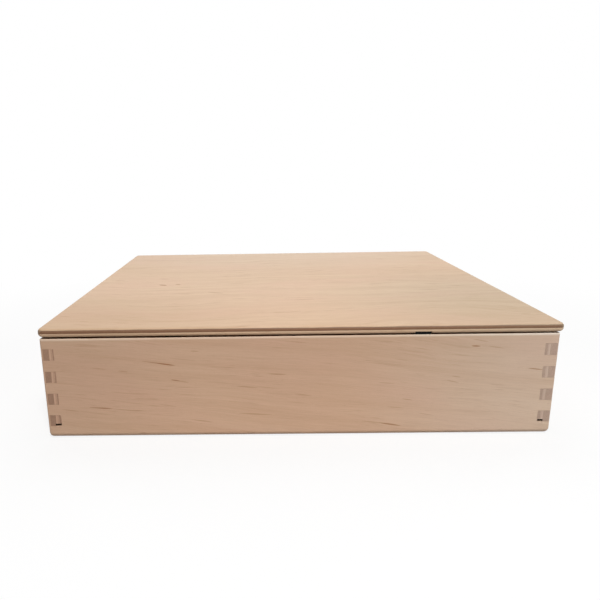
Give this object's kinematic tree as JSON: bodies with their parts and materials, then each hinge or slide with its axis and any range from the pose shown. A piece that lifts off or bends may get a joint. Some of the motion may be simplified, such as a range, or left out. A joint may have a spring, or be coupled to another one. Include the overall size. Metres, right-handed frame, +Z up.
{
  "type": "toy storage box",
  "caption": "Low square plywood box with finger-jointed corners, a grooved-in bottom and a hinged overlapping lid with rounded corners.",
  "frame": {"origin": "middle of the box's width, and of the whole depth of the closed box, lid and hinge knuckles included, on the surface that it stands on; the lid lies 0.7 mm to the right of that middle", "axes": "+X to the right seen from the front, +Y to the back where the hinges are, +Z up"},
  "size_m": [0.3534, 0.3553, 0.0797],
  "materials": {
    "birch_board": "sanded birch plywood, unvarnished",
    "birch_thin_board": "sanded thin birch plywood, unvarnished",
    "birch_lid_board": "sanded birch plywood with rounded edges, unvarnished",
    "hinge_metal": "plain plated steel, satin",
    "screw_metal": "plated steel, satin",
    "black_rubber": "matt black rubber"
  },
  "bodies": {
    "box": {"front_wall": "birch_board", "back_wall": "birch_board", "left_wall": "birch_board", "right_wall": "birch_board", "bottom_panel": "birch_thin_board", "left_hinge_box_leaf": "hinge_metal", "left_hinge_pin": "hinge_metal", "left_hinge_box_screws": "screw_metal", "right_hinge_box_leaf": "hinge_metal", "right_hinge_pin": "hinge_metal", "right_hinge_box_screws": "screw_metal"},
    "lid": {"lid_panel": "birch_lid_board", "left_hinge_lid_leaf": "hinge_metal", "left_hinge_lid_screws": "screw_metal", "right_hinge_lid_leaf": "hinge_metal", "right_hinge_lid_screws": "screw_metal", "left_bumper": "black_rubber", "right_bumper": "black_rubber"}
  },
  "joints": [
    {"name": "lid_hinge", "type": "hinge", "parent": "box", "child": "lid", "pos_m": [0, 0.176, 0.07303], "axis": [-1, 0, 0], "range_deg": [0, 190.5]}
  ]
}
